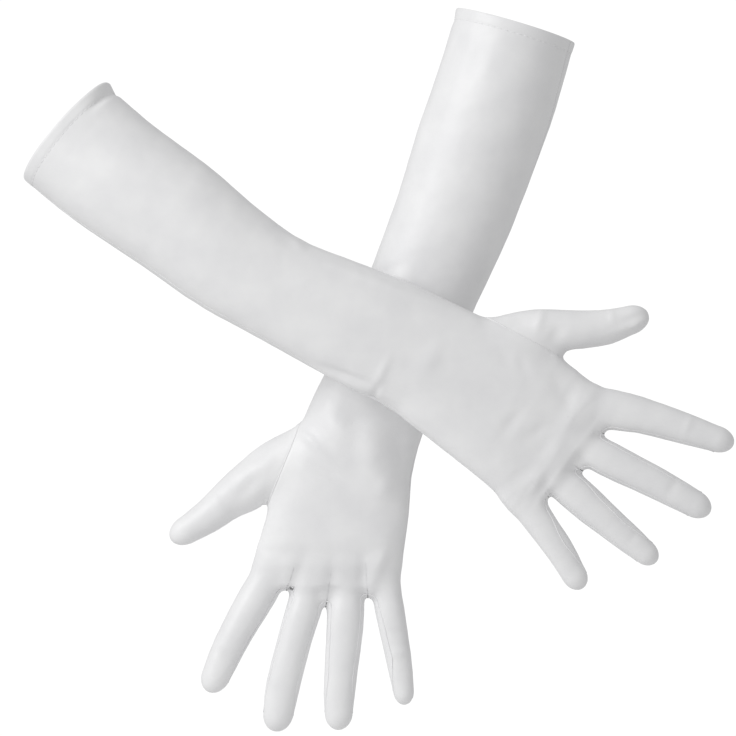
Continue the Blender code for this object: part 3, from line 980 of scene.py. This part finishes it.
def along_line(path, step):
    """Points at even spacing along a line."""
    lengths = np.linalg.norm(np.diff(path, axis=0), axis=1)
    at = np.concatenate([[0], np.cumsum(lengths)])
    new_at = np.linspace(0, at[-1], max(3, int(at[-1] / step) + 1))
    return np.stack([np.interp(new_at, at, path[:, axis]) for axis in range(3)], axis=1)


def joined(parts):
    points, normals, triangles, start = [], [], [], 0
    for part_points, part_normals, part_triangles in parts:
        points.append(part_points)
        normals.append(part_normals)
        triangles.append(part_triangles + start)
        start += len(part_points)
    return np.concatenate(points), np.concatenate(normals), np.concatenate(triangles)


def make_piece(name, part, material):
    points, normals, triangles = part
    mesh = bpy.data.meshes.new(name)
    mesh.from_pydata((points * MM).tolist(), [], triangles.tolist())
    mesh.update()
    mesh.shade_smooth()
    mesh.normals_split_custom_set_from_vertices(normals.tolist())
    mesh.materials.append(material)
    return add_object(name, mesh)


# Materials

def set_inputs(node, **values):
    """Set a node's inputs, each named in lower case with underscores for spaces."""
    for name, value in values.items():
        node.inputs[name.replace("_", " ").title()].default_value = value
    return node


def add_node(nodes, kind, **values):
    return set_inputs(nodes.new("ShaderNode" + kind), **values)


def new_material(name, colour, roughness, sheen):
    """A fabric's shader, and its nodes, ready for a pattern."""
    material = bpy.data.materials.new(name)
    material.use_nodes = True
    nodes = material.node_tree.nodes
    shader = nodes["Principled BSDF"]
    set_inputs(shader, roughness=roughness, sheen_weight=sheen, sheen_roughness=0.4,
               base_color=(*colour, 1))
    return material, nodes, material.node_tree.links, shader


def place_pattern(nodes, links, scale):
    """Object coordinates, in millimetres times the scale."""
    coordinates = add_node(nodes, "TexCoord")
    mapping = add_node(nodes, "Mapping", scale=(scale, scale, scale))
    links.new(coordinates.outputs["Object"], mapping.inputs["Vector"])
    return mapping.outputs["Vector"]


def add_noise(nodes, links, scale, detail):
    pattern = add_node(nodes, "TexNoise", scale=1.0, detail=detail)
    links.new(place_pattern(nodes, links, scale), pattern.inputs["Vector"])
    return pattern.outputs["Fac"]


def colour_by(nodes, links, value, low, high):
    ramp = add_node(nodes, "ValToRGB")
    ramp.color_ramp.elements[0].color = (*low, 1)
    ramp.color_ramp.elements[0].position = 0.3
    ramp.color_ramp.elements[1].color = (*high, 1)
    ramp.color_ramp.elements[1].position = 0.7
    links.new(value, ramp.inputs["Fac"])
    return ramp.outputs["Color"]


def add_bump(nodes, links, height, shader, strength, distance):
    bump = add_node(nodes, "Bump", strength=strength, distance=distance)
    links.new(height, bump.inputs["Height"])
    links.new(bump.outputs["Normal"], shader.inputs["Normal"])


def satin(name, roughness, low, high):
    """White satin: a soft broad gloss, a fine weave and faintly uneven whiteness."""
    material, nodes, links, shader = new_material(name, high, roughness, 0.1)
    shader.inputs["Specular IOR Level"].default_value = 0.45
    uneven = add_noise(nodes, links, 55.0, 3.0)
    links.new(colour_by(nodes, links, uneven, low, high), shader.inputs["Base Color"])
    rough = add_node(nodes, "MapRange", to_min=roughness - 0.05, to_max=roughness + 0.06)
    links.new(add_noise(nodes, links, 120.0, 2.0), rough.inputs["Value"])
    links.new(rough.outputs["Result"], shader.inputs["Roughness"])
    weave = add_node(nodes, "TexWave", scale=0.35, distortion=1.5, detail=1.0)
    weave.bands_direction = "DIAGONAL"
    links.new(place_pattern(nodes, links, 1000.0), weave.inputs["Vector"])
    fine = add_noise(nodes, links, 900.0, 2.0)
    both = add_node(nodes, "Math")
    both.operation = "ADD"
    links.new(weave.outputs["Fac"], both.inputs[0])
    links.new(fine, both.inputs[1])
    add_bump(nodes, links, both.outputs["Value"], shader, 0.12, 0.00008)
    return material


def thread():
    """Twisted polyester thread."""
    material, nodes, links, shader = new_material("thread", (0.92, 0.92, 0.92), 0.5, 0.3)
    twist = add_node(nodes, "TexWave", scale=1.2)
    twist.bands_direction = "DIAGONAL"
    links.new(place_pattern(nodes, links, 1000.0), twist.inputs["Vector"])
    links.new(colour_by(nodes, links, twist.outputs["Fac"], (0.88, 0.88, 0.89), (0.95, 0.95, 0.95)),
              shader.inputs["Base Color"])
    add_bump(nodes, links, twist.outputs["Fac"], shader, 0.4, 0.0001)
    return material


# Putting a glove together

def segment_middle(glove, index):
    """Where a finger's piece starts to bend, and the way it leaves the hand."""
    start, end = glove.knuckles[index], glove.knuckles[index + 1]
    if index == 0:
        start = end + unit(start - end) * 20
    if index == 3:
        end = start + unit(end - start) * 20
    normal = unit(np.cross(unit(end - start), BACK))
    if normal @ glove.ways[index] < 0:
        normal = -normal
    return start, normal


def bend(piece, glove, part):
    """Bake a piece's placement into its mesh; where its part of the hand would bend is worked out
    but not used.
    """
    if part == "hand":
        start, end = (glove.wrist + glove.hand_way * far for far in WRIST_BEND)
    elif part == "thumb":
        start = glove.seam_start
        end = start + glove.seam_normal * THUMB_BEND
    else:
        start, way = segment_middle(glove, FINGERS.index(part))
        end = start + way * FINGER_BEND
    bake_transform(piece)


def finish_piece(piece, glove, part, slot, *nodes):
    """Fix a sleeve piece to its body, pass any other piece to bend, and hide the nodes that it
    stands for; the slot is not used.
    """
    if part == "sleeve":
        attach(piece, glove.side + "_sleeve")
    else:
        bend(piece, glove, part)
    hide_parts(*(f"{glove.side}_{node}" for node in nodes))


def line_on(points, chain):
    path = points[chain]
    for _round in range(2):
        path[1:-1] = path[1:-1] * 0.5 + (path[:-2] + path[2:]) * 0.25
    return path


def welt_on(skin, normals, chain, radius, closed=False):
    path = along_line(line_on(skin.points, chain), 1.6)
    if closed:
        path = path[:-1]
    return welt(path, nearest_normals(skin, normals, chain, path), radius, closed)


def nearest_normals(skin, normals, chain, path):
    places = skin.points[chain]
    nearest = [int(np.argmin(((places - point)**2).sum(axis=1))) for point in path]
    return normals[np.array(chain)[nearest]]


def line_edges(skin, masks_a, masks_b):
    return shared_border(skin.triangles[masks_a], skin.triangles[masks_b], len(skin.points))


def build_glove(side, plan, materials):
    glove = Glove(side, plan)
    skin = sew(glove)
    masks = piece_masks(glove, skin)
    normals = vertex_normals(skin.points, skin.triangles)
    cuts = field_lines(glove, skin)
    skin.points = skin.points + normals * relief(glove, skin.points, normals)[:, None]
    normals = vertex_normals(skin.points, skin.triangles)
    count = len(skin.points)

    for part in ("sleeve", "hand"):
        cloth = thickened(skin.points, normals, skin.triangles[masks[part]], CLOTH)
        piece = make_piece(f"{side}_{part}_cloth", cloth, materials["satin"])
        finish_piece(piece, glove, part, "satin", part)

    thumb = skin.triangles[masks["thumb"]]
    parts = [thickened(skin.points, normals, thumb, CLOTH)]
    loop = chains(border_edges(thumb, count))[0]
    parts.append(welt_on(skin, normals, loop, WELT_RADIUS, closed=True))
    piece = make_piece(side + "_thumb_cloth", joined(parts), materials["satin"])
    finish_piece(piece, glove, "thumb", "satin", "thumb")

    whole = {name: masks[name + "_stall"].copy() for name in FINGERS}
    for name, which in fourchettes(plan):
        whole[name] |= masks[f"{name}_{which}_fourchette"]
    for index, name in enumerate(FINGERS):
        triangles = [skin.triangles[masks[name + "_stall"]]]
        for other in (index - 1, index + 1):
            if 0 <= other < 4:
                edges = line_edges(skin, whole[name], whole[FINGERS[other]])
                if len(edges):
                    triangles.append(wall(chains(edges)[0]))
        stall = thickened(skin.points, normals, np.concatenate(triangles), CLOTH)
        piece = make_piece(f"{side}_{name}_cloth", stall, materials["satin"])
        finish_piece(piece, glove, name, "satin", name + "_stall")

    for name, which in fourchettes(plan):
        node = f"{name}_{which}_fourchette"
        strip = masks[node]
        parts = [thickened(skin.points, normals, skin.triangles[strip], CLOTH)]
        for chain in chains(line_edges(skin, strip, masks[name + "_stall"]))[:2]:
            if len(chain) > 8:
                parts.append(welt_on(skin, normals, chain, WELT_RADIUS))
        piece = make_piece(f"{side}_{node}_cloth", joined(parts), materials["fourchette"])
        finish_piece(piece, glove, name, "fourchette_satin", node)

    for part, node in (("sleeve", "side_seam"), ("hand", "hand_seam")):
        made = [welt_on(skin, normals, chain, WELT_RADIUS) for chain in cuts[part]]
        piece = make_piece(f"{side}_{node}_welt", joined(made), materials["satin"])
        finish_piece(piece, glove, part, "satin", node)

    add_hem(glove, skin, normals, masks["sleeve"], materials)


def field_lines(glove, skin):
    """The side seam's line on the sleeve and on the hand, as chains of points."""
    edges = edges_of(skin.triangles)[0]
    values, near = glove.over_side_seam(skin.points)
    on_line = near & (np.abs(values) < 0.02)
    edges = edges[on_line[edges].all(axis=1)]
    middle = skin.points[edges].mean(axis=1)
    on_sleeve = glove.past_wrist(middle) < 0
    return {"sleeve": ordered(skin, edges[on_sleeve]), "hand": ordered(skin, edges[~on_sleeve])}


def ordered(skin, edges):
    """Undirected edges as one chain, ordered by walking from an end."""
    neighbours = {}
    for start, end in edges.tolist():
        neighbours.setdefault(start, []).append(end)
        neighbours.setdefault(end, []).append(start)
    found, seen = [], set()
    tips = [point for point, others in neighbours.items() if len(others) == 1]
    for tip in tips:
        if tip in seen:
            continue
        chain = [tip]
        seen.add(tip)
        while True:
            onward = [other for other in neighbours[chain[-1]] if other not in seen]
            if not onward:
                break
            chain.append(onward[0])
            seen.add(onward[0])
        if len(chain) > 6:
            found.append(chain)
    return sorted(found, key=len, reverse=True)[:1]


def add_hem(glove, skin, normals, sleeve, materials):
    """The cloth turned up inside the arm opening, and the row of stitches that holds it."""
    side = glove.side
    centres = skin.centres()
    turned = sleeve & (glove.cuff_depth(centres) < HEM_DEPTH)
    inside = skin.points - normals * (CLOTH + FACING_GAP)
    facing = thickened(inside, normals, skin.triangles[turned], FACING_CLOTH)
    piece = make_piece(side + "_hem_facing_cloth", facing, materials["satin"])
    finish_piece(piece, glove, "sleeve", "satin", "hem_facing")

    above = sleeve & ~turned & (glove.cuff_depth(centres) < 2 * HEM_DEPTH)
    chain = chains(line_edges(skin, turned, above))[0]
    path = along_line(line_on(skin.points, chain), STITCH_STEP / 4)
    directions = nearest_normals(skin, normals, chain, path)
    stitches = [welt(path[start:start + 4], directions[start:start + 4], THREAD_RADIUS, False)
                for start in range(0, len(path) - 4, 5)]
    piece = make_piece(side + "_hem_stitches", joined(stitches), materials["thread"])
    finish_piece(piece, glove, "sleeve", "thread", "hem_stitching")


# Camera, light and floor

def make_camera():
    """Long lens square to the pair, framed with the gloves a little off centre."""
    data = bpy.data.cameras.new("camera")
    camera = add_object("camera", data)
    camera.location = (FRAME_CENTRE[0], -CAMERA_DISTANCE, FRAME_CENTRE[1])
    camera.rotation_euler = (radians(90), 0, 0)
    data.lens = data.sensor_width * CAMERA_DISTANCE / FRAME_WIDTH
    data.clip_end = 100
    bpy.context.scene.camera = camera


def area_light(name, place, target, size, power):
    data = bpy.data.lights.new(name, "AREA")
    data.shape = "SQUARE"
    data.size = size
    data.energy = power
    light = add_object(name, data)
    light.location = place
    light.rotation_euler = (Vector(target) - Vector(place)).to_track_quat("-Z", "Y").to_euler()


def make_light():
    """A white surround that is seen at full strength and lights the gloves less, and a soft key."""
    world = bpy.data.worlds.new("world")
    bpy.context.scene.world = world
    world.use_nodes = True
    nodes, links = world.node_tree.nodes, world.node_tree.links
    background = nodes["Background"]
    set_inputs(background, color=(1, 1, 1, 1))
    path = add_node(nodes, "LightPath")
    strength = add_node(nodes, "MapRange", to_min=FILL, to_max=1.05)
    links.new(path.outputs["Is Camera Ray"], strength.inputs["Value"])
    links.new(strength.outputs["Result"], background.inputs["Strength"])
    area_light("key", KEY_PLACE, (-0.09, 0, -0.2), KEY_SIZE, KEY_POWER)
    bpy.context.scene.view_settings.view_transform = "Standard"


def make_floor():
    """A pale round floor below the hanging gloves."""
    disc = bmesh.new()
    bmesh.ops.create_circle(disc, cap_ends=True, segments=96, radius=0.6)
    mesh = bpy.data.meshes.new("floor")
    disc.to_mesh(mesh)
    disc.free()
    floor = add_object("floor", mesh)
    floor.location = (FRAME_CENTRE[0], 0, FLOOR_HEIGHT)
    material = new_material("floor", (0.9, 0.9, 0.9), 0.8, 0.0)[0]
    mesh.materials.append(material)


materials = {
    "satin": satin("white_satin", 0.42, (0.83, 0.83, 0.84), (0.88, 0.88, 0.885)),
    # The fourchettes' satin is painted a shade lighter than the rest as painted sheen of their weave
    # running the other way; it is also a little rougher.
    "fourchette": satin("fourchette_satin", 0.45, (0.84, 0.84, 0.85), (0.9, 0.9, 0.905)),
    "thread": thread(),
}
for side, plan in (("left", LEFT), ("right", RIGHT)):
    build_glove(side, plan, materials)
make_camera()
make_light()
make_floor()
